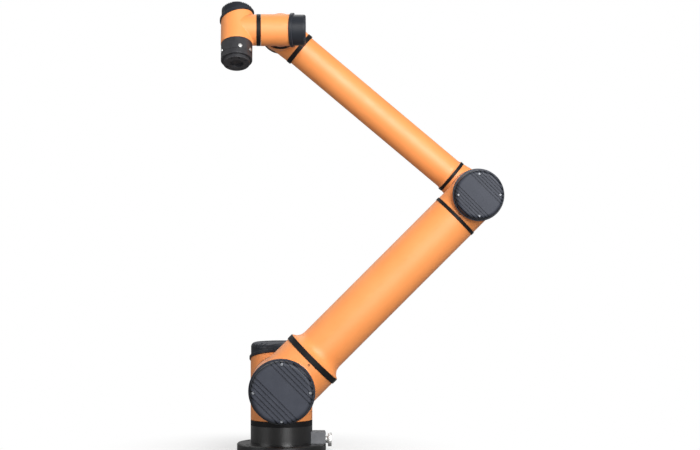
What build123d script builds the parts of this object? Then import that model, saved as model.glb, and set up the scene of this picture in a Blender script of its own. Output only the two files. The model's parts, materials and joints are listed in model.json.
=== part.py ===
from build123d import *
import math
import os

os.makedirs("parts", exist_ok=True)

# Pose of the arm, in degrees seen from the front, anticlockwise from the +X way
upper_arm_angle = 45.0
forearm_angle = 140.0
wrist_angle = 180.0
tool_tilt = 30.0

# What every drive has, in millimetres
joint_gap = 0.5
lip_width = 7.5
lip_proud = 3.0
lip_round = 1.2
cap_inset = 1.0
rib_drop = 1.0
screws_per_cap = 4
housing_round = 1.2
ring_round = 0.6

# Shoulder drives, for joints 1 and 2: a barrel, a branch and a cap on an oblique seam
shoulder_radius = 75.0
shoulder_branch_step = 2.0
shoulder_branch_end = 98.5
shoulder_face = 89.7
shoulder_ring = 12.6
shoulder_blend = 5.0
shoulder_seam = 56.3
shoulder_seam_tilt = 17.0
shoulder_cap_reach = 98.0
shoulder_edge = 11.0
shoulder_rib_pitch = 9.4
shoulder_rib_start = 23.5
shoulder_rib_shift = 4.7
shoulder_groove_width = 3.8
shoulder_groove_depth = 2.4
shoulder_screw_circle = 66.0
shoulder_pocket_radius = 4.2
shoulder_pocket_depth = 8.0

# Elbow drive, for joint 3, and the plain drive end on the forearm's side
elbow_radius = 58.0
elbow_branch_step = 1.0
elbow_face_margin = 2.3
elbow_ring = 9.0
elbow_blend = 2.0
elbow_seam = 48.0
elbow_seam_tilt = 14.5
elbow_cap_reach = 84.0
elbow_edge = 9.0
elbow_rib_pitch = 6.4
elbow_rib_start = 20.0
elbow_groove_width = 2.7
elbow_groove_depth = 1.9
elbow_screw_circle = 48.5
elbow_pocket_radius = 3.4
elbow_pocket_depth = 6.0
elbow_back_reach = 48.0
elbow_back_edge = 16.0

# Wrist 1 drive, for joint 4
wrist_1_radius = 44.0
wrist_1_branch_step = 0.8
wrist_1_face_margin = 9.0
wrist_1_ring = 9.0
wrist_1_ring_step = 2.5
wrist_1_seam = 36.0
wrist_1_seam_tilt = 14.4
wrist_1_cap_reach = 62.0

# Wrist 2 and wrist 3 drives, for joints 5 and 6
wrist_radius = 37.5
wrist_branch_step = 0.8
wrist_2_face_margin = 8.8
wrist_3_face_margin = 3.6
wrist_ring = 9.4
wrist_blend = 3.0
lip_notch_clearance = 0.6
wrist_2_seam = 24.0
wrist_2_seam_tilt = 9.2
wrist_3_seam = 32.6
wrist_3_seam_tilt = 14.4
wrist_cap_reach = 59.0
wrist_edge = 5.2
wrist_rib_pitch = 4.2
wrist_rib_start = 13.0
wrist_groove_width = 1.8
wrist_groove_depth = 1.3
wrist_screw_setback = 6.0
wrist_pocket_radius = 2.6
wrist_pocket_depth = 4.0

# Base: bolted foot, column and cable connector
foot_radius = 108.0
foot_height = 17.0
foot_chamfer = 2.5
column_height = 43.4
bolt_edge_distance = 14.0
bolt_hole_radius = 4.5
bolt_count = 6
bolt_start_angle = 30.0
block_setback = 1.3
block_width = 44.0
block_clearance = 15.4
block_round = 2.0
connector_height = 25.0
connector_stem_radius = 9.0
connector_stem_length = 6.3
connector_nut_radius = 17.0
connector_nut_length = 8.5
connector_nut_round = 1.0

# Upper arm: ring, waisted collar, tube and ring
upper_arm_length = 647.0
upper_tube_radius = 57.35
lower_clamp_radius = 75.0
lower_clamp_start = 94.8
lower_clamp_width = 14.0
collar_radius = 73.5
collar_land = 1.5
collar_length = 28.0
upper_clamp_radius = 58.6
upper_clamp_start = 68.0
upper_clamp_width = 8.0

# Forearm: neck, ring, tube and ring
forearm_length = 600.5
forearm_barrel_end = 45.5
forearm_neck_margin = 0.5
forearm_neck_length = 40.0
forearm_branch_radius = 41.0
forearm_tube_radius = 38.6
forearm_clamp_radius = 42.0
forearm_lower_clamp_start = 63.5
forearm_lower_clamp_width = 8.0
forearm_upper_clamp_start = 54.0
forearm_upper_clamp_width = 11.0
forearm_flare_radius = 41.0
forearm_flare_length = 9.0
forearm_flare_land = 0.5

# Wrist spacing and tool end: collar, flange with its bolt circle and the collar's sockets
wrist_spacing = 102.5
tool_reach = 94.0
tool_collar_radius = 36.8
tool_collar_round = 1.0
tool_groove_station = 72.5
tool_groove_width = 1.0
tool_groove_depth = 0.6
flange_radius = 31.0
flange_proud = 8.5
flange_round = 0.8
flange_bore_radius = 15.75
flange_bore_depth = 6.5
flange_bolt_circle_radius = 25.0
flange_bolt_radius = 2.5
flange_bolt_depth = 7.0
flange_bolt_count = 4
flange_bolt_start_angle = 30.0
flange_dowel_radius = 3.0
flange_dowel_angle = 75.0
socket_radius = 4.8
socket_reach = 65.5
socket_proud = 0.8
socket_sink = 6.0
socket_azimuths = (28.0, 76.0, 160.0)

# Sizes that follow from the driving ones
shoulder_branch_radius = shoulder_radius - shoulder_branch_step
column_radius = shoulder_radius
elbow_branch_radius = elbow_radius - elbow_branch_step
elbow_face = elbow_radius + elbow_face_margin
wrist_1_branch_radius = wrist_1_radius - wrist_1_branch_step
wrist_1_face = wrist_1_radius + wrist_1_face_margin
wrist_branch_radius = wrist_radius - wrist_branch_step
wrist_2_face = wrist_radius + wrist_2_face_margin
wrist_3_face = wrist_radius + wrist_3_face_margin

# Stations of the base's stack, and the offsets of the links in front of the base's axis
column_top = foot_height + column_height
ring_top = column_top + shoulder_ring
shoulder_height = ring_top + joint_gap + shoulder_face
arm_offset = shoulder_branch_end + shoulder_ring + joint_gap + shoulder_face
forearm_offset = arm_offset - elbow_face - joint_gap - elbow_ring - forearm_barrel_end

# Ways of the links and axes
front = Vector(0, -1, 0)


def way(angle):
    """Unit vector at an angle in the plane that faces the front."""
    return Vector(math.cos(math.radians(angle)), 0, math.sin(math.radians(angle)))


upper_way = way(upper_arm_angle)
forearm_way = way(forearm_angle)
wrist_way = way(wrist_angle)
tool_down = way(wrist_angle + 90)
tool_way = tool_down * math.cos(math.radians(tool_tilt)) + front * math.sin(math.radians(tool_tilt))

# Crossings of the axes
shoulder_centre = Vector(0, 0, shoulder_height)
upper_arm_centre = shoulder_centre + front * arm_offset
elbow_centre = upper_arm_centre + upper_way * upper_arm_length
forearm_centre = elbow_centre - front * (arm_offset - forearm_offset)
wrist_1_centre = forearm_centre + forearm_way * forearm_length
wrist_2_centre = wrist_1_centre + front * (arm_offset - forearm_offset)
wrist_3_centre = wrist_2_centre + wrist_way * wrist_spacing

# Frames: local Z runs along the barrel to its cap and local X along the branch
shoulder_frame = Plane(origin=shoulder_centre, x_dir=front, z_dir=(0, 0, 1)).location
upper_arm_frame = Plane(origin=upper_arm_centre, x_dir=upper_way, z_dir=front).location
elbow_frame = Plane(origin=elbow_centre, x_dir=-upper_way, z_dir=front).location
forearm_frame = Plane(origin=forearm_centre, x_dir=forearm_way, z_dir=front).location
wrist_1_frame = Plane(origin=wrist_1_centre, x_dir=-forearm_way, z_dir=-front).location
wrist_2_frame = Plane(origin=wrist_2_centre, x_dir=-front, z_dir=-wrist_way).location
wrist_3_frame = Plane(origin=wrist_3_centre, x_dir=-wrist_way, z_dir=-tool_way).location
tool_frame = Plane(origin=wrist_3_centre, x_dir=-wrist_way, z_dir=tool_way).location


def rod(radius, start, end, start_round=0, end_round=0):
    """Round bar along local Z between two stations, its end edges rounded if asked."""
    bar = Cylinder(radius, end - start, align=(Align.CENTER, Align.CENTER, Align.MIN))
    if start_round:
        bar = fillet(bar.edges().group_by(Axis.Z)[0], start_round)
    if end_round:
        bar = fillet(bar.edges().group_by(Axis.Z)[-1], end_round)
    return Pos(0, 0, start) * bar


def taper(start_radius, end_radius, start, end):
    """Tapering round bar along local Z between two stations."""
    bar = Cone(start_radius, end_radius, end - start, align=(Align.CENTER, Align.CENTER, Align.MIN))
    return Pos(0, 0, start) * bar


def along_branch(shape):
    """Turn a shape made along local Z so that it runs along local X."""
    return Rot(0, 90, 0) * shape


def beyond_seam(radius, seam, tilt):
    """Space on the cap's side of the oblique seam, which rises towards the branch."""
    size = 6 * radius
    half_space = Box(size, size, size, align=(Align.CENTER, Align.CENTER, Align.MIN))
    return Pos(0, 0, seam) * Rot(0, -tilt, 0) * half_space


def drive_housing(radius, face, seam, tilt, branch, blend):
    """Housing of a drive: a barrel from its output face to the seam, with a blended branch."""
    body = rod(radius, -face, seam + radius, start_round=housing_round) + along_branch(branch)
    crossing = [e for e in body.edges() if e.geom_type not in (GeomType.CIRCLE, GeomType.LINE)]
    body = fillet(crossing, blend)
    return body - (rod(radius, -face, seam + radius) & beyond_seam(radius, seam, tilt))


def rib_grooves(radius, reach, edge, pitch, start, shift, width, depth):
    """Straight grooves across a cap's face and over its rounded rim, with a plain band between."""
    slab = Box(width, 2 * radius, 2 * edge, align=(Align.CENTER, Align.CENTER, Align.MIN))
    slabs = []
    offset = start
    while offset < radius - width:
        for side in (-1, 1):
            station = shift + side * offset
            if abs(station) < radius - width - depth:
                slabs.append(Pos(station, 0, reach - edge - rib_drop) * slab)
        offset = offset + pitch
    core = rod(radius - depth, 0, reach - depth, end_round=edge - depth)
    return [groove - core for groove in slabs]


def drive_cap(radius, seam, tilt, reach, edge, ribs, screw_circle, pocket_radius, pocket_depth):
    """Cap that closes a barrel: a skirt from the seam, a proud lip and a ribbed rounded face."""
    wall = radius - cap_inset
    past_seam = beyond_seam(radius, seam, tilt)
    past_lip = beyond_seam(radius, seam + lip_width, tilt)
    skirt = rod(wall, 0, reach, end_round=edge) & past_seam
    lip = (rod(radius + lip_proud, 0, reach) & past_seam) - past_lip
    lip = fillet(lip.edges().filter_by(GeomType.ELLIPSE), lip_round)
    cap = skirt + lip
    cap = cap - rib_grooves(wall, reach, edge, *ribs)
    pocket = rod(pocket_radius, reach - pocket_depth, reach + pocket_depth)
    return cap - PolarLocations(screw_circle, screws_per_cap, 45) * pocket


def tube(radius, start, end, flare_radius, flare_length, land):
    """Link tube along local Z whose first end flares in a hollow curve to a wider land."""
    with BuildPart() as turned:
        with BuildSketch(Plane.XZ):
            with BuildLine():
                Line((0, start), (flare_radius, start))
                Line((flare_radius, start), (flare_radius, start + land))
                Spline((flare_radius, start + land), (radius, start + flare_length),
                       tangents=((-1, 0.45), (0, 1)))
                Line((radius, start + flare_length), (radius, end))
                Line((radius, end), (0, end))
                Line((0, end), (0, start))
            make_face()
        revolve(axis=Axis.Z)
    return turned.part


def ring(radius, start, width):
    """Black ring along local Z, its two edges slightly rounded."""
    return rod(radius, start, start + width, start_round=ring_round, end_round=ring_round)


def save(shape, name):
    """Write one piece under its node's name."""
    export_step(shape, f"parts/{name}.step")


# Base
foot = rod(foot_radius, 0, foot_height)
foot = chamfer(foot.edges().group_by(Axis.Z)[-1], foot_chamfer)
bolt_hole = rod(bolt_hole_radius, 0, foot_height)
bolt_circle_radius = foot_radius - bolt_edge_distance
foot = foot - PolarLocations(bolt_circle_radius, bolt_count, bolt_start_angle) * bolt_hole
save(foot, "base_foot")
save(rod(column_radius, foot_height, column_top), "base_column")
save(ring(shoulder_radius, column_top, shoulder_ring), "joint_1_ring")

block_reach = foot_radius - block_setback
block_height = column_height - block_clearance
block = Box(block_reach, block_width, block_height, align=(Align.MIN, Align.CENTER, Align.MIN))
block = fillet(block.edges().group_by(Axis.X)[-1], block_round)
save(Pos(0, 0, foot_height) * block - rod(column_radius, 0, column_top), "base_connector_block")
nut_start = connector_stem_length
nut_end = nut_start + connector_nut_length
stem = rod(connector_stem_radius, 0, connector_stem_length)
nut = rod(connector_nut_radius, nut_start, nut_end, connector_nut_round, connector_nut_round)
save(Pos(block_reach, 0, connector_height) * along_branch(stem + nut), "base_connector")

# Shoulder
shoulder_ribs = (shoulder_rib_pitch, shoulder_rib_start, shoulder_rib_shift,
                 shoulder_groove_width, shoulder_groove_depth)
shoulder_cap = drive_cap(shoulder_radius, shoulder_seam, shoulder_seam_tilt, shoulder_cap_reach,
                         shoulder_edge, shoulder_ribs, shoulder_screw_circle,
                         shoulder_pocket_radius, shoulder_pocket_depth)
branch = rod(shoulder_branch_radius, 0, shoulder_branch_end, end_round=housing_round)
housing = drive_housing(shoulder_radius, shoulder_face, shoulder_seam, shoulder_seam_tilt,
                        branch, shoulder_blend)
save(shoulder_frame * housing, "shoulder_housing")
save(shoulder_frame * shoulder_cap, "shoulder_cap")
joint_ring = ring(shoulder_radius, shoulder_branch_end, shoulder_ring)
save(shoulder_frame * along_branch(joint_ring), "joint_2_ring")

# Upper arm
branch = rod(shoulder_branch_radius, 0, lower_clamp_start, end_round=housing_round)
housing = drive_housing(shoulder_radius, shoulder_face, shoulder_seam, shoulder_seam_tilt,
                        branch, shoulder_blend)
save(upper_arm_frame * housing, "upper_arm_housing")
save(upper_arm_frame * shoulder_cap, "upper_arm_cap")
clamp_ring = ring(lower_clamp_radius, lower_clamp_start, lower_clamp_width)
save(upper_arm_frame * along_branch(clamp_ring), "upper_arm_lower_ring")
tube_start = lower_clamp_start + lower_clamp_width
tube_end = upper_arm_length - upper_clamp_start - upper_clamp_width
arm_tube = tube(upper_tube_radius, tube_start, tube_end, collar_radius, collar_length, collar_land)
save(upper_arm_frame * along_branch(arm_tube), "upper_arm_tube")
clamp_ring = ring(upper_clamp_radius, tube_end, upper_clamp_width)
save(upper_arm_frame * along_branch(clamp_ring), "upper_arm_upper_ring")

branch = rod(elbow_branch_radius, 0, upper_clamp_start, end_round=housing_round)
housing = drive_housing(elbow_radius, elbow_face, elbow_seam, elbow_seam_tilt, branch, elbow_blend)
save(elbow_frame * housing, "elbow_housing")
elbow_ribs = (elbow_rib_pitch, elbow_rib_start, 0, elbow_groove_width, elbow_groove_depth)
elbow_cap = drive_cap(elbow_radius, elbow_seam, elbow_seam_tilt, elbow_cap_reach, elbow_edge,
                      elbow_ribs, elbow_screw_circle, elbow_pocket_radius, elbow_pocket_depth)
save(elbow_frame * elbow_cap, "elbow_cap")

# Forearm
save(forearm_frame * ring(elbow_radius, forearm_barrel_end, elbow_ring), "joint_3_ring")
barrel = rod(elbow_radius, -elbow_back_reach, forearm_barrel_end, start_round=elbow_back_edge)
neck_radius = forearm_barrel_end - forearm_neck_margin
neck = rod(neck_radius, 0, forearm_neck_length)
neck = neck + taper(neck_radius, forearm_branch_radius, forearm_neck_length, forearm_lower_clamp_start)
save(forearm_frame * (barrel + along_branch(neck)), "forearm_housing")
clamp_ring = ring(forearm_clamp_radius, forearm_lower_clamp_start, forearm_lower_clamp_width)
save(forearm_frame * along_branch(clamp_ring), "forearm_lower_ring")
tube_start = forearm_lower_clamp_start + forearm_lower_clamp_width
tube_end = forearm_length - forearm_upper_clamp_start - forearm_upper_clamp_width
arm_tube = tube(forearm_tube_radius, tube_start, tube_end, forearm_flare_radius,
                forearm_flare_length, forearm_flare_land)
save(forearm_frame * along_branch(arm_tube), "forearm_tube")
clamp_ring = ring(forearm_clamp_radius, tube_end, forearm_upper_clamp_width)
save(forearm_frame * along_branch(clamp_ring), "forearm_upper_ring")

wrist_ribs = (wrist_rib_pitch, wrist_rib_start, 0, wrist_groove_width, wrist_groove_depth)
branch = taper(wrist_1_branch_radius, forearm_branch_radius, 0, forearm_upper_clamp_start)
housing = drive_housing(wrist_1_radius, wrist_1_face, wrist_1_seam, wrist_1_seam_tilt,
                        branch, wrist_blend)
save(wrist_1_frame * housing, "wrist_1_housing")
wrist_1_cap = drive_cap(wrist_1_radius, wrist_1_seam, wrist_1_seam_tilt, wrist_1_cap_reach,
                        wrist_edge, wrist_ribs, wrist_1_radius - wrist_screw_setback,
                        wrist_pocket_radius, wrist_pocket_depth)
save(wrist_1_frame * wrist_1_cap, "wrist_1_cap")

# Wrist 2, whose cap has a notch in its lip where the branch stands
wrist_screw_circle = wrist_radius - wrist_screw_setback
branch_end = arm_offset - forearm_offset - wrist_1_face - joint_gap - wrist_1_ring
branch = rod(wrist_branch_radius, 0, branch_end, end_round=housing_round)
housing = drive_housing(wrist_radius, wrist_2_face, wrist_2_seam, wrist_2_seam_tilt,
                        branch, wrist_blend)
save(wrist_2_frame * housing, "wrist_2_housing")
wrist_2_cap = drive_cap(wrist_radius, wrist_2_seam, wrist_2_seam_tilt, wrist_cap_reach, wrist_edge,
                        wrist_ribs, wrist_screw_circle, wrist_pocket_radius, wrist_pocket_depth)
notch = along_branch(rod(wrist_branch_radius + wrist_blend + lip_notch_clearance, 0, 2 * wrist_radius))
notch = notch - rod(wrist_radius, -2 * wrist_radius, 2 * wrist_radius)
save(wrist_2_frame * (wrist_2_cap - notch), "wrist_2_cap")
joint_ring = ring(wrist_1_radius - wrist_1_ring_step, branch_end, wrist_1_ring)
save(wrist_2_frame * along_branch(joint_ring), "joint_4_ring")

# Wrist 3
branch_end = wrist_spacing - wrist_2_face - joint_gap - wrist_ring
branch = rod(wrist_branch_radius, 0, branch_end, end_round=housing_round)
housing = drive_housing(wrist_radius, wrist_3_face, wrist_3_seam, wrist_3_seam_tilt,
                        branch, wrist_blend)
save(wrist_3_frame * housing, "wrist_3_housing")
wrist_3_cap = drive_cap(wrist_radius, wrist_3_seam, wrist_3_seam_tilt, wrist_cap_reach, wrist_edge,
                        wrist_ribs, wrist_screw_circle, wrist_pocket_radius, wrist_pocket_depth)
save(wrist_3_frame * wrist_3_cap, "wrist_3_cap")
joint_ring = ring(wrist_radius, branch_end, wrist_ring)
save(wrist_3_frame * along_branch(joint_ring), "joint_5_ring")

# Tool end
collar_start = wrist_3_face + joint_gap
collar_end = tool_reach - flange_proud
tool_collar = rod(tool_collar_radius, collar_start, collar_end, end_round=tool_collar_round)
groove_end = tool_groove_station + tool_groove_width
groove = rod(tool_collar_radius + tool_groove_depth, tool_groove_station, groove_end)
groove = groove - rod(tool_collar_radius - tool_groove_depth, tool_groove_station, groove_end)
tool_collar = tool_collar - groove
socket_start = tool_collar_radius - socket_sink
socket_bar = along_branch(rod(socket_radius, socket_start, tool_collar_radius + socket_proud))
sockets = [Pos(0, 0, socket_reach) * Rot(0, 0, azimuth) * socket_bar for azimuth in socket_azimuths]
save(tool_frame * (tool_collar - sockets), "tool_collar")
save(tool_frame * Compound(sockets), "tool_sockets")
flange = rod(flange_radius, collar_end, tool_reach, end_round=flange_round)
flange = flange - rod(flange_bore_radius, tool_reach - flange_bore_depth, tool_reach)
bolt_hole = rod(flange_bolt_radius, tool_reach - flange_bolt_depth, tool_reach)
bolt_places = PolarLocations(flange_bolt_circle_radius, flange_bolt_count, flange_bolt_start_angle)
flange = flange - bolt_places * bolt_hole
dowel_hole = rod(flange_dowel_radius, tool_reach - flange_bolt_depth, tool_reach)
dowel_hole = Rot(0, 0, flange_dowel_angle) * Pos(flange_bolt_circle_radius, 0, 0) * dowel_hole
save(tool_frame * (flange - dowel_hole), "tool_flange")
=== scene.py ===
import json
import math

import bmesh
import bpy
from mathutils import Matrix, Vector


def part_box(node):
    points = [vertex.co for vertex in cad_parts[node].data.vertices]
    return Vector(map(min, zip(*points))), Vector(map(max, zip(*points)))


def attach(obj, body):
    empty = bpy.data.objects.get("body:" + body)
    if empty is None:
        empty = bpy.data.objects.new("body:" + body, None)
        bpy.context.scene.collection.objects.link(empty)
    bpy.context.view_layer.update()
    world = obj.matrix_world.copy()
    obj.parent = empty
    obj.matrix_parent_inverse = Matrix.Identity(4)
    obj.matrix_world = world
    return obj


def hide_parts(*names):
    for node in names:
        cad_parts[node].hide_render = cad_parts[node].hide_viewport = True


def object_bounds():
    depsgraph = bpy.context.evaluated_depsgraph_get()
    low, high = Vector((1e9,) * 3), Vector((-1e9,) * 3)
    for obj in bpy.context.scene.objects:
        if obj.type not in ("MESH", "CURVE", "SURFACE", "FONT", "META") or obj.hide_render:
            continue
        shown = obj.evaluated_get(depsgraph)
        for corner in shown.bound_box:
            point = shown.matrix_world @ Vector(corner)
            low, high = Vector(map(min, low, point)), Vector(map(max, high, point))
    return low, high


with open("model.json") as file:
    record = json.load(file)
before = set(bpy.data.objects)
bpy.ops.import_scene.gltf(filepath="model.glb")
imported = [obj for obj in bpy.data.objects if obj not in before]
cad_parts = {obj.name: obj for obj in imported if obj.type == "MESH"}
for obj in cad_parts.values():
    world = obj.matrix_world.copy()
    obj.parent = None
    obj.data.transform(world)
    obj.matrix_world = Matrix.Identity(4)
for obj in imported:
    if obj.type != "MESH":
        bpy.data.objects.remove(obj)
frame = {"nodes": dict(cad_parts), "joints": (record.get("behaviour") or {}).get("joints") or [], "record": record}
cad_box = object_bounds()

# One millimetre in the scene's metres
MM = 0.001

# Camera: it looks level to the back, and the vanishing point lies off the picture's centre. The picture
# and its points are in pixels, the sensor in millimetres and the reach in metres.
picture_width = 700
picture_centre = (350.0, 225.0)
vanishing_point = (278.0, 180.0)
focal_pixels = 2400.0
sensor_width = 36.0
camera_place = Vector((-8.5, -5832.0, 655.0)) * MM
camera_reach = 100.0

# Screws: radius and height of the head, radius to the key hole's corners and its depth, in millimetres
cap_screw_large = (3.5, 4.2, 1.9, 2.2)
cap_screw_medium = (2.8, 3.4, 1.6, 1.8)
cap_screw_small = (2.1, 2.4, 1.2, 1.3)
collar_screw = (4.7, 5.5, 2.4, 2.0)
block_screw = (2.2, 1.6, 1.2, 1.0)
grub_screw = (2.9, 1.6, 1.6, 1.3)
screw_sides = 24
screw_edge_radius = 0.35

# From a corner of the hexagon key hole to the middle of the flat beside it
half_flat = math.radians(30)

# Screw pockets of the caps: radius of their circle, place of the cap's face along the barrel, and depth
shoulder_pockets = (66.0, 98.0, 8.0)
elbow_pockets = (48.5, 84.0, 6.0)
wrist_1_pockets = (38.0, 62.0, 4.0)
wrist_pockets = (31.5, 59.0, 4.0)
pockets_per_cap = 4
first_pocket_degrees = 45

# Grub screws that lock the clamps: distance along the branch, and out from its axis to the surface
shoulder_grub = (89.0, 73.0)
elbow_grub = (62.0, 57.0)
grub_screw_proud = 0.25

# Screws round the tool collar: where they sit along the tool's axis, and round it in degrees
collar_radius = 36.8
collar_screw_along = 65.5
collar_screw_degrees = (28.0, 76.0, 160.0)
collar_screw_proud = 0.8

# Stem of the connector: its thread grooves, and how far it reaches into the nut
stem_radius = 9.0
stem_into_nut = 0.5
stem_sides = 48
groove_count = 3
groove_pitch = 1.6
groove_start = 0.6
groove_depth = 0.6

# Outline of one groove: distance along the stem, and share of the depth
groove_outline = ((0.0, 0.0), (0.4, 1.0), (0.7, 1.0), (1.1, 0.0))

# Ring nut of the connector: its knurl, the flat on its end and the slope down into its recess
nut_radius = 17.0
nut_length = 8.5
nut_edge_radius = 0.9
nut_flat_width = 4.0
nut_slope_width = 0.8
nut_recess_depth = 1.2
knurl_teeth = 36
knurl_depth = 0.45

# Screws on the connector block: distance in from its corners, and how far the heads are let in
block_screw_inset = 4.5
block_screw_sunk = 0.6

# Finished pieces: steps of a rounded edge, the sharpest angle that is still shaded round, and the
# distance in metres within which vertices are one
edge_steps = 3
smooth_angle = math.radians(35)
merge_distance = 1e-7

# Floor, in metres: its radius, where its shading starts to fade and ends, and its gap below the foot
floor_radius = 30.0
floor_sides = 96
floor_shade_start = 0.12
floor_shade_end = 0.48
floor_gap = 0.0005

# Share of plain white that the floor keeps at the foot
floor_white_at_foot = 0.6

# Share of the white background that shows in reflections, low so that black parts stay black
mirrored_share = 0.1

# Strength of the white background as light on the object
ambient_strength = 0.17

# Points that the lamps face, in metres
arm_middle = (0.15, -0.1, 0.6)
base_middle = (0.0, 0.0, 0.1)

# The part of its range that noise really fills
noise_low = 0.3
noise_high = 0.7

# How squarely a cap's surface looks along the barrel where its wall, smoother and in painted shade, ends and its
# face begins
cap_wall_facing = 0.55
cap_face_facing = 0.97


def linear(code):
    """Linear colour with alpha from an sRGB hex code."""
    parts = [int(code[i:i + 2], 16) / 255 for i in (1, 3, 5)]
    return tuple(p / 12.92 if p <= 0.04045 else ((p + 0.055) / 1.055) ** 2.4 for p in parts) + (1.0,)


def per_metre(size):
    """Texture scale that repeats at a size in millimetres."""
    return 1.0 / (size * MM)


def add_node(tree, kind, settings=None, **inputs):
    """Add a node with its settings and its inputs, as values or links, by name or by number as _0."""
    node = tree.nodes.new(kind)
    for name, value in (settings or {}).items():
        setattr(node, name, value)
    for name, value in inputs.items():
        socket = node.inputs[int(name[1:]) if name[1:].isdigit() else name.replace("_", " ")]
        if isinstance(value, bpy.types.NodeSocket):
            tree.links.new(value, socket)
        else:
            socket.default_value = value
    return node


def start_material(name):
    """New material with an empty tree, and the place on the object that its patterns follow."""
    material = bpy.data.materials.new(name)
    material.use_nodes = True
    tree = material.node_tree
    tree.nodes.clear()
    place = add_node(tree, "ShaderNodeTexCoord").outputs["Object"]
    return material, tree, place


def lay_surface(tree, **inputs):
    """Make a shader with these inputs the surface of a material."""
    shader = add_node(tree, "ShaderNodeBsdfPrincipled", **inputs)
    add_node(tree, "ShaderNodeOutputMaterial", Surface=shader.outputs["BSDF"])


def clouded(tree, place, width, low, high, detail=2.0):
    """Value that drifts between two limits in soft clouds, whose width is in millimetres."""
    clouds = add_node(tree, "ShaderNodeTexNoise", Vector=place, Scale=per_metre(width), Detail=detail)
    drift = add_node(tree, "ShaderNodeMapRange", Value=clouds.outputs["Fac"], From_Min=noise_low,
                     From_Max=noise_high, To_Min=low, To_Max=high)
    return drift.outputs["Result"]


def mottled(tree, place, width, first, second, detail=3.0):
    """Colour that drifts between two close tones in soft clouds, whose width is in millimetres."""
    clouds = clouded(tree, place, width, 0.0, 1.0, detail)
    tone = add_node(tree, "ShaderNodeMix", {"data_type": "RGBA"}, _0=clouds, _6=linear(first),
                    _7=linear(second))
    return tone.outputs[2]


def grained(tree, place, width, depth, strength, detail=2.0, roughness=0.5):
    """Surface direction over small bumps, whose width and depth are in millimetres."""
    grain = add_node(tree, "ShaderNodeTexNoise", Vector=place, Scale=per_metre(width), Detail=detail,
                     Roughness=roughness)
    relief = add_node(tree, "ShaderNodeBump", Height=grain.outputs["Fac"], Distance=depth * MM,
                      Strength=strength)
    return relief.outputs["Normal"]


def powder_coat_orange():
    """Satin powder coat on cast aluminium: an even orange with a faint orange-peel ripple."""
    material, tree, place = start_material("orange_powder_coat")
    lay_surface(
        tree,
        Base_Color=mottled(tree, place, width=90.0, first="#f0934c", second="#f29853"),
        Roughness=clouded(tree, place, width=25.0, low=0.48, high=0.54),
        Specular_IOR_Level=0.7,
        Sheen_Weight=0.1,
        Sheen_Roughness=0.4,
        Normal=grained(tree, place, width=2.2, depth=0.012, strength=0.3),
    )
    return material


def moulded_nylon_slate(face_way):
    """Glass-filled nylon, injection moulded: a spark-eroded slate face, and a smoother wall in painted shade.

    Its grain is drawn about a millimetre wide, coarser than the real one, so that it shows.
    """
    material, tree, place = start_material("moulded_nylon_slate")
    surface_way = add_node(tree, "ShaderNodeTexCoord").outputs["Normal"]
    facing = add_node(tree, "ShaderNodeVectorMath", {"operation": "DOT_PRODUCT"}, _0=surface_way,
                      _1=face_way)
    face = add_node(tree, "ShaderNodeMapRange", Value=facing.outputs["Value"],
                    From_Min=cap_wall_facing, From_Max=cap_face_facing)
    # Painted shade: the wall and the sides of the face's grooves take a darker tone than the face
    painted_shade_wall_tone = mottled(tree, place, width=30.0, first="#24262b", second="#292c32")
    face_tone = mottled(tree, place, width=30.0, first="#393c45", second="#3f424b")
    tone = add_node(tree, "ShaderNodeMix", {"data_type": "RGBA"}, _0=face.outputs["Result"],
                    _6=painted_shade_wall_tone, _7=face_tone)
    roughness = add_node(tree, "ShaderNodeMapRange", Value=face.outputs["Result"],
                         To_Min=0.36, To_Max=0.46)
    lay_surface(
        tree,
        Base_Color=tone.outputs[2],
        Roughness=roughness.outputs["Result"],
        Specular_IOR_Level=0.22,
        Normal=grained(tree, place, width=1.1, depth=0.04, strength=0.5, detail=3.0, roughness=0.6),
    )
    return material


def moulded_seal_black():
    """Moulded polyurethane seal: near-black and half matt, softer than the caps.

    Its grain is drawn about a millimetre wide, coarser than the real one, so that it shows.
    """
    material, tree, place = start_material("moulded_seal_black")
    lay_surface(
        tree,
        Base_Color=mottled(tree, place, width=18.0, first="#121213", second="#171719", detail=2.0),
        Roughness=clouded(tree, place, width=5.0, low=0.5, high=0.6),
        Specular_IOR_Level=0.2,
        Normal=grained(tree, place, width=0.9, depth=0.03, strength=0.4),
    )
    return material


def coated_steel_black():
    """Black satin lacquer on turned steel: smooth, with a wide soft highlight."""
    material, tree, place = start_material("coated_steel_black")
    lay_surface(
        tree,
        Base_Color=mottled(tree, place, width=40.0, first="#080809", second="#0a0a0b"),
        Roughness=clouded(tree, place, width=12.0, low=0.29, high=0.33),
        Specular_IOR_Level=1.0,
        Normal=grained(tree, place, width=1.6, depth=0.02, strength=0.3),
    )
    return material


def coated_block_grey():
    """Grey satin lacquer on a milled block: an even mid grey with a fine texture."""
    material, tree, place = start_material("coated_block_grey")
    lay_surface(
        tree,
        Base_Color=mottled(tree, place, width=14.0, first="#66686c", second="#717377"),
        Roughness=clouded(tree, place, width=5.0, low=0.42, high=0.5),
        Normal=grained(tree, place, width=1.2, depth=0.03, strength=0.35),
    )
    return material


def nickel_plated_steel():
    """Nickel-plated turned steel: a bright, warm white metal, a little uneven.

    Its unevenness is drawn wider than the real one, so that it shows.
    """
    material, tree, place = start_material("nickel_plated_steel")
    lay_surface(
        tree,
        Metallic=1.0,
        Base_Color=mottled(tree, place, width=6.0, first="#d9d9d8", second="#e6e6e4"),
        Roughness=clouded(tree, place, width=2.5, low=0.38, high=0.48),
        Normal=grained(tree, place, width=0.8, depth=0.01, strength=0.3),
    )
    return material


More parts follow.
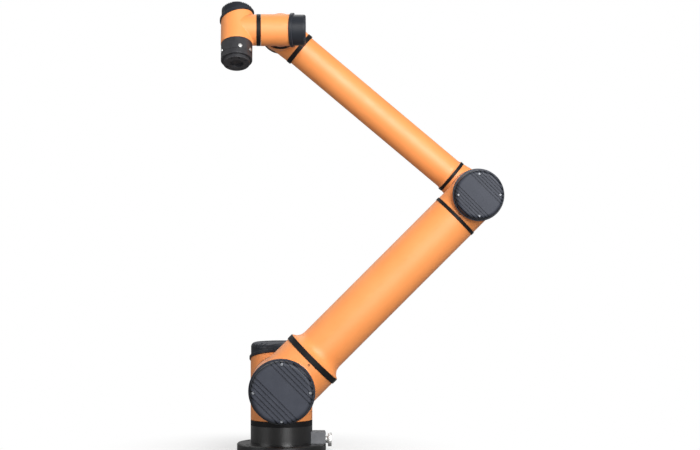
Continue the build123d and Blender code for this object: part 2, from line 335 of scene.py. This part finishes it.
def anodised_aluminium_black():
    """Black anodised turned aluminium: the dyed oxide skin covers the metal with a dull dark grey.

    Its grain is drawn wider than the real one, so that it shows.
    """
    material, tree, place = start_material("anodised_aluminium_black")
    lay_surface(
        tree,
        Base_Color=mottled(tree, place, width=12.0, first="#2c2c2f", second="#353538"),
        Roughness=clouded(tree, place, width=3.0, low=0.34, high=0.44),
        Normal=grained(tree, place, width=0.7, depth=0.015, strength=0.4),
    )
    return material


def zinc_plated_steel():
    """Zinc-plated screw steel: mid grey and dull, with a soft cloudy passivated surface."""
    material, tree, place = start_material("zinc_plated_steel")
    lay_surface(
        tree,
        Metallic=1.0,
        Base_Color=mottled(tree, place, width=3.0, first="#8b8e93", second="#9c9fa4"),
        Roughness=clouded(tree, place, width=1.8, low=0.46, high=0.58),
        Normal=grained(tree, place, width=0.8, depth=0.01, strength=0.3),
    )
    return material


def oxide_steel_black():
    """Black-oxide steel: the dark, slightly oily finish of small grub screws."""
    material, tree, place = start_material("oxide_steel_black")
    lay_surface(
        tree,
        Metallic=1.0,
        Base_Color=mottled(tree, place, width=3.0, first="#1b1a19", second="#252422", detail=2.0),
        Roughness=clouded(tree, place, width=1.5, low=0.3, high=0.42),
    )
    return material


def sees_white(tree):
    """How far a ray sees the plain white background: all of it, or a share of it in reflections."""
    rays = add_node(tree, "ShaderNodeLightPath").outputs
    direct = add_node(tree, "ShaderNodeMath", {"operation": "MAXIMUM"}, _0=rays["Is Camera Ray"],
                      _1=rays["Is Transmission Ray"])
    mirrored = add_node(tree, "ShaderNodeMath", {"operation": "MULTIPLY"}, _0=rays["Is Glossy Ray"],
                        _1=mirrored_share)
    either = add_node(tree, "ShaderNodeMath", {"operation": "MAXIMUM"}, _0=direct.outputs[0],
                      _1=mirrored.outputs[0])
    return either.outputs[0]


def studio_floor():
    """Matt studio paint: shaded near the object, where its shadow lies, and plain white further out.

    It is darker as a bounce of light than to the camera, so that it doesn't light the object from below.
    """
    material, tree, place = start_material("matt_white_floor")
    reach = add_node(tree, "ShaderNodeVectorMath", {"operation": "LENGTH"}, _0=place)
    far = add_node(tree, "ShaderNodeMapRange", {"interpolation_type": "SMOOTHSTEP"},
                   Value=reach.outputs["Value"], From_Min=floor_shade_start, From_Max=floor_shade_end,
                   To_Min=floor_white_at_foot)
    share = add_node(tree, "ShaderNodeMath", {"operation": "MULTIPLY"}, _0=sees_white(tree),
                     _1=far.outputs["Result"])
    seen = add_node(tree, "ShaderNodeLightPath").outputs["Is Camera Ray"]
    tone = add_node(tree, "ShaderNodeMix", {"data_type": "RGBA"}, _0=seen, _6=linear("#6e6e6e"),
                    _7=linear("#e8e8e8"))
    paint = add_node(tree, "ShaderNodeBsdfDiffuse", Color=tone.outputs[2])
    white = add_node(tree, "ShaderNodeEmission", Color=linear("#ffffff"), Strength=1.0)
    mixed = add_node(tree, "ShaderNodeMixShader", _0=share.outputs[0], _1=paint.outputs[0],
                     _2=white.outputs[0])
    add_node(tree, "ShaderNodeOutputMaterial", Surface=mixed.outputs[0])
    return material


nickel = nickel_plated_steel()
zinc = zinc_plated_steel()
oxide = oxide_steel_black()

material_of_slot = {
    "orange_paint": powder_coat_orange(),
    "ring_black": moulded_seal_black(),
    "base_black": coated_steel_black(),
    "block_grey": coated_block_grey(),
    "plated_metal": nickel,
    "tool_anodised": anodised_aluminium_black(),
}

# Directions of the arm at rest
joints = {joint["name"]: joint for joint in frame["joints"]}
front = Vector((0, -1, 0))
up = Vector((0, 0, 1))
right = Vector((1, 0, 0))
tool_way = Vector(joints["joint_6_spin"]["axis"])

# Crossings of the joint axes, from the joints' places and the forearm's tube
places = {name: Vector(joint["pos_m"]) for name, joint in joints.items()}
arm_y = places["joint_5_turn"].y
forearm_low, forearm_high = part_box("forearm_tube")
forearm_y = (forearm_low.y + forearm_high.y) / 2
shoulder_centre = Vector((0, 0, places["joint_2_swing"].z))
upper_arm_centre = Vector((0, arm_y, shoulder_centre.z))
elbow_centre = Vector((places["joint_3_bend"].x, arm_y, places["joint_3_bend"].z))
forearm_centre = Vector((elbow_centre.x, forearm_y, elbow_centre.z))
wrist_1_centre = Vector((places["joint_4_bend"].x, forearm_y, places["joint_4_bend"].z))
wrist_2_centre = Vector((wrist_1_centre.x, arm_y, wrist_1_centre.z))
tool_joint = places["joint_6_spin"]
wrist_3_centre = tool_joint + tool_way * ((arm_y - tool_joint.y) / tool_way.y)
upper_way = (elbow_centre - upper_arm_centre).normalized()
forearm_way = (wrist_1_centre - forearm_centre).normalized()

way_of_cap = {
    "shoulder_cap": up,
    "upper_arm_cap": front,
    "elbow_cap": front,
    "wrist_1_cap": -front,
    "wrist_2_cap": right,
    "wrist_3_cap": -tool_way,
}

# Every CAD node takes the finish of its slot, and each cap one that knows which way its face looks
for part in frame["record"]["subparts"]:
    node = part["node"]
    slots = frame["nodes"][node].data.materials
    slots.clear()
    if node in way_of_cap:
        slots.append(moulded_nylon_slate(way_of_cap[node]))
    else:
        slots.append(material_of_slot[part["material_slot"]])


def drive_place(centre, barrel_way, branch_way):
    """Place of a drive: Z runs along its barrel to the cap and X along its branch."""
    side = barrel_way.cross(branch_way)
    turn = Matrix((branch_way, side, barrel_way)).transposed()
    return Matrix.Translation(centre) @ turn.to_4x4()


shoulder = drive_place(shoulder_centre, up, front)
upper_arm = drive_place(upper_arm_centre, front, upper_way)
elbow = drive_place(elbow_centre, front, -upper_way)
wrist_1 = drive_place(wrist_1_centre, -front, -forearm_way)
wrist_2 = drive_place(wrist_2_centre, right, -front)
wrist_3 = drive_place(wrist_3_centre, -tool_way, right)
tool_end = drive_place(wrist_3_centre, tool_way, right)


def at(x, y, z):
    """Shift in millimetres."""
    return Matrix.Translation(Vector((x, y, z)) * MM)


def turned(degrees, axis):
    """Turn by an angle in degrees."""
    return Matrix.Rotation(math.radians(degrees), 4, axis)


def raise_disc(bm, foot, height):
    """Raise a round face into a short bar, by a height in metres, and return the face on its top."""
    raised = bmesh.ops.extrude_face_region(bm, geom=[foot])["geom"]
    top = next(item for item in raised if isinstance(item, bmesh.types.BMFace))
    bmesh.ops.translate(bm, verts=top.verts, vec=(0, 0, height))
    return top


def round_edges(bm, edges, radius):
    """Round edges off by a radius in metres."""
    bmesh.ops.bevel(bm, geom=edges, offset=radius, segments=edge_steps, profile=0.5,
                    affect="EDGES", material=-1)


def sink_key_hole(bm, top, head_radius, key_radius, key_depth):
    """Sink a hexagon key hole into the top of a screw's head, with its sizes in metres."""
    bmesh.ops.inset_region(bm, faces=[top], thickness=head_radius - key_radius)
    for vertex in top.verts:
        angle = math.atan2(vertex.co.y, vertex.co.x)
        from_corner = (angle + half_flat) % (2 * half_flat) - half_flat
        from_flat = half_flat - abs(from_corner)
        reach = key_radius * math.cos(half_flat) / math.cos(from_flat)
        vertex.co.x = reach * math.cos(angle)
        vertex.co.y = reach * math.sin(angle)
    sunk = bmesh.ops.extrude_face_region(bm, geom=[top])["geom"]
    bmesh.ops.delete(bm, geom=[top], context="FACES_ONLY")
    bottom = [item for item in sunk if isinstance(item, bmesh.types.BMVert)]
    bmesh.ops.translate(bm, verts=bottom, vec=(0, 0, -key_depth))


def add_socket_screw(bm, place, size):
    """Add one socket-head screw, whose head stands up from the place along its Z axis."""
    head_radius, head_height, key_radius, key_depth = (value * MM for value in size)
    before = set(bm.verts)
    disc = bmesh.ops.create_circle(bm, cap_ends=True, radius=head_radius, segments=screw_sides)
    top = raise_disc(bm, disc["verts"][0].link_faces[0], head_height)
    rim = list(top.edges)
    sink_key_hole(bm, top, head_radius, key_radius, key_depth)
    round_edges(bm, rim, screw_edge_radius * MM)
    fresh = [vertex for vertex in bm.verts if vertex not in before]
    bmesh.ops.transform(bm, matrix=place, verts=fresh)


def add_stem(bm, length):
    """Add the connector's stem with its thread grooves, its outline turned round the Z axis."""
    outline = [(0.0, 0.0), (stem_radius, 0.0)]
    for index in range(groove_count):
        start = groove_start + index * groove_pitch
        for along, share in groove_outline:
            outline.append((stem_radius - share * groove_depth, start + along))
    outline += [(stem_radius, length), (0.0, length)]
    points = [bm.verts.new((radius * MM, 0, height * MM)) for radius, height in outline]
    edges = [bm.edges.new(pair) for pair in zip(points, points[1:])]
    bmesh.ops.spin(bm, geom=points + edges, cent=(0, 0, 0), axis=(0, 0, 1), angle=math.tau,
                   steps=stem_sides, use_merge=True)
    bmesh.ops.remove_doubles(bm, verts=bm.verts, dist=merge_distance)


def add_ring_nut(bm, start):
    """Add the connector's knurled ring nut, which starts at a height in millimetres along Z."""
    disc = bmesh.ops.create_circle(bm, cap_ends=True, radius=nut_radius * MM, segments=2 * knurl_teeth)
    for index, vertex in enumerate(disc["verts"]):
        vertex.co.z = start * MM
        if index % 2:
            vertex.co.xy *= 1 - knurl_depth / nut_radius
    foot = disc["verts"][0].link_faces[0]
    top = raise_disc(bm, foot, nut_length * MM)
    rims = list(top.edges) + list(foot.edges)
    bmesh.ops.inset_region(bm, faces=[top], thickness=nut_flat_width * MM)
    bmesh.ops.inset_region(bm, faces=[top], thickness=nut_slope_width * MM, depth=-nut_recess_depth * MM)
    round_edges(bm, rims, nut_edge_radius * MM)


def finish_piece(bm, name, body, material):
    """Make a piece of the mesh, give it its finish and let it ride on a body."""
    bmesh.ops.remove_doubles(bm, verts=bm.verts, dist=merge_distance)
    bmesh.ops.recalc_face_normals(bm, faces=bm.faces)
    mesh = bpy.data.meshes.new(name)
    bm.to_mesh(mesh)
    bm.free()
    mesh.polygons.foreach_set("use_smooth", [True] * len(mesh.polygons))
    mesh.set_sharp_from_angle(angle=smooth_angle)
    mesh.materials.append(material)
    piece = bpy.data.objects.new(name, mesh)
    bpy.context.scene.collection.objects.link(piece)
    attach(piece, body)
    return piece


def cap_screws(name, drive, body, pockets, size):
    """Four socket-head screws in the pockets round a drive's cap."""
    circle_radius, face, pocket_depth = pockets
    bm = bmesh.new()
    for index in range(pockets_per_cap):
        turn = turned(first_pocket_degrees + index * 360 / pockets_per_cap, "Z")
        add_socket_screw(bm, drive @ turn @ at(circle_radius, 0, face - pocket_depth) @ turn, size)
    finish_piece(bm, name, body, zinc)


def grub_screws(name, drive, body, seat):
    """A grub screw on each side of a branch, that locks the tube in it."""
    along, out = seat
    head_height = grub_screw[1]
    bm = bmesh.new()
    for side in (0, 180):
        place = drive @ turned(side, "X") @ at(along, 0, out - head_height + grub_screw_proud)
        add_socket_screw(bm, place, grub_screw)
    finish_piece(bm, name, body, oxide)


cap_screws("shoulder_cap_screws", shoulder, "shoulder", shoulder_pockets, cap_screw_large)
cap_screws("upper_arm_cap_screws", upper_arm, "upper_arm", shoulder_pockets, cap_screw_large)
cap_screws("elbow_cap_screws", elbow, "upper_arm", elbow_pockets, cap_screw_medium)
cap_screws("wrist_1_cap_screws", wrist_1, "forearm", wrist_1_pockets, cap_screw_small)
cap_screws("wrist_2_cap_screws", wrist_2, "wrist_2", wrist_pockets, cap_screw_small)
cap_screws("wrist_3_cap_screws", wrist_3, "wrist_3", wrist_pockets, cap_screw_small)

grub_screws("upper_arm_grub_screws", upper_arm, "upper_arm", shoulder_grub)
grub_screws("elbow_grub_screws", elbow, "upper_arm", elbow_grub)

# Silver screws in the pockets of the tool collar, in place of the plain sockets
bm = bmesh.new()
collar_seat = collar_radius + collar_screw_proud - collar_screw[1]
for degrees in collar_screw_degrees:
    place = tool_end @ turned(degrees, "Z") @ at(collar_seat, 0, collar_screw_along)
    add_socket_screw(bm, place @ turned(90, "Y"), collar_screw)
collar_screws = finish_piece(bm, "tool_collar_screws", "tool_end", nickel)
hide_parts("tool_sockets")

# Connector on the base block, in place of the plain one: a threaded stem and a knurled ring nut
low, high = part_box("base_connector")
nut_start = (high.x - low.x) / MM - nut_length
bm = bmesh.new()
add_stem(bm, nut_start + stem_into_nut)
add_ring_nut(bm, nut_start)
place = Matrix.Translation(Vector((low.x, 0, (low.z + high.z) / 2))) @ turned(90, "Y")
bmesh.ops.transform(bm, matrix=place, verts=bm.verts)
connector = finish_piece(bm, "base_connector_nut", "base", nickel)
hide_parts("base_connector")

# Two screws at the top corners of the connector block's outer face
low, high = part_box("base_connector_block")
inset = block_screw_inset * MM
bm = bmesh.new()
for side in (-1, 1):
    corner = Vector((high.x, side * (high.y - inset), high.z - inset))
    place = Matrix.Translation(corner) @ turned(90, "Y") @ at(0, 0, -block_screw_sunk)
    add_socket_screw(bm, place, block_screw)
finish_piece(bm, "base_block_screws", "base", zinc)

# Camera
camera = bpy.data.objects.new("camera", bpy.data.cameras.new("camera"))
bpy.context.scene.collection.objects.link(camera)
camera.location = camera_place
camera.rotation_euler = (math.radians(90), 0, 0)
camera.data.sensor_width = sensor_width
camera.data.lens = focal_pixels * sensor_width / picture_width
camera.data.shift_x = (picture_centre[0] - vanishing_point[0]) / picture_width
camera.data.shift_y = (vanishing_point[1] - picture_centre[1]) / picture_width
camera.data.clip_end = camera_reach
bpy.context.scene.camera = camera


def softbox(name, place, target, width, height, watts):
    """Soft rectangular lamp that faces a target, with its place and size in metres."""
    data = bpy.data.lights.new(name, "AREA")
    data.shape = "RECTANGLE"
    data.size = width
    data.size_y = height
    data.energy = watts
    lamp = bpy.data.objects.new(name, data)
    bpy.context.scene.collection.objects.link(lamp)
    lamp.location = place
    lamp.rotation_euler = (Vector(target) - Vector(place)).to_track_quat("-Z", "Y").to_euler()


softbox("front_softbox", (1.35, -3.5, 2.2), arm_middle, width=1.8, height=2.8, watts=202.0)
softbox("low_softbox", (1.2, -3.6, 0.4), base_middle, width=1.8, height=0.7, watts=16.0)
softbox("left_softbox", (-2.5, -1.3, 1.1), arm_middle, width=1.6, height=1.8, watts=24.0)
softbox("right_softbox", (3.1, -0.9, 2.2), arm_middle, width=1.2, height=1.8, watts=12.0)
softbox("back_softbox", (-0.8, 2.9, 3.8), arm_middle, width=4.0, height=3.4, watts=76.0)

# World: plain white where the camera or a reflection sees it, and a softer grey as light
world = bpy.data.worlds.new("studio")
bpy.context.scene.world = world
world.use_nodes = True
sky = world.node_tree
sky.nodes.clear()
dim = add_node(sky, "ShaderNodeBackground", Color=linear("#ffffff"), Strength=ambient_strength)
bright = add_node(sky, "ShaderNodeBackground", Color=linear("#ffffff"), Strength=1.0)
mixed = add_node(sky, "ShaderNodeMixShader", _0=sees_white(sky), _1=dim.outputs[0],
                 _2=bright.outputs[0])
add_node(sky, "ShaderNodeOutputWorld", Surface=mixed.outputs[0])

# Floor
bm = bmesh.new()
bmesh.ops.create_circle(bm, cap_ends=True, radius=floor_radius, segments=floor_sides)
floor_mesh = bpy.data.meshes.new("studio_floor")
bm.to_mesh(floor_mesh)
bm.free()
floor_mesh.materials.append(studio_floor())
floor = bpy.data.objects.new("studio_floor", floor_mesh)
bpy.context.scene.collection.objects.link(floor)
floor.location.z = cad_box[0][2] - floor_gap

bpy.context.scene.view_settings.view_transform = "Standard"
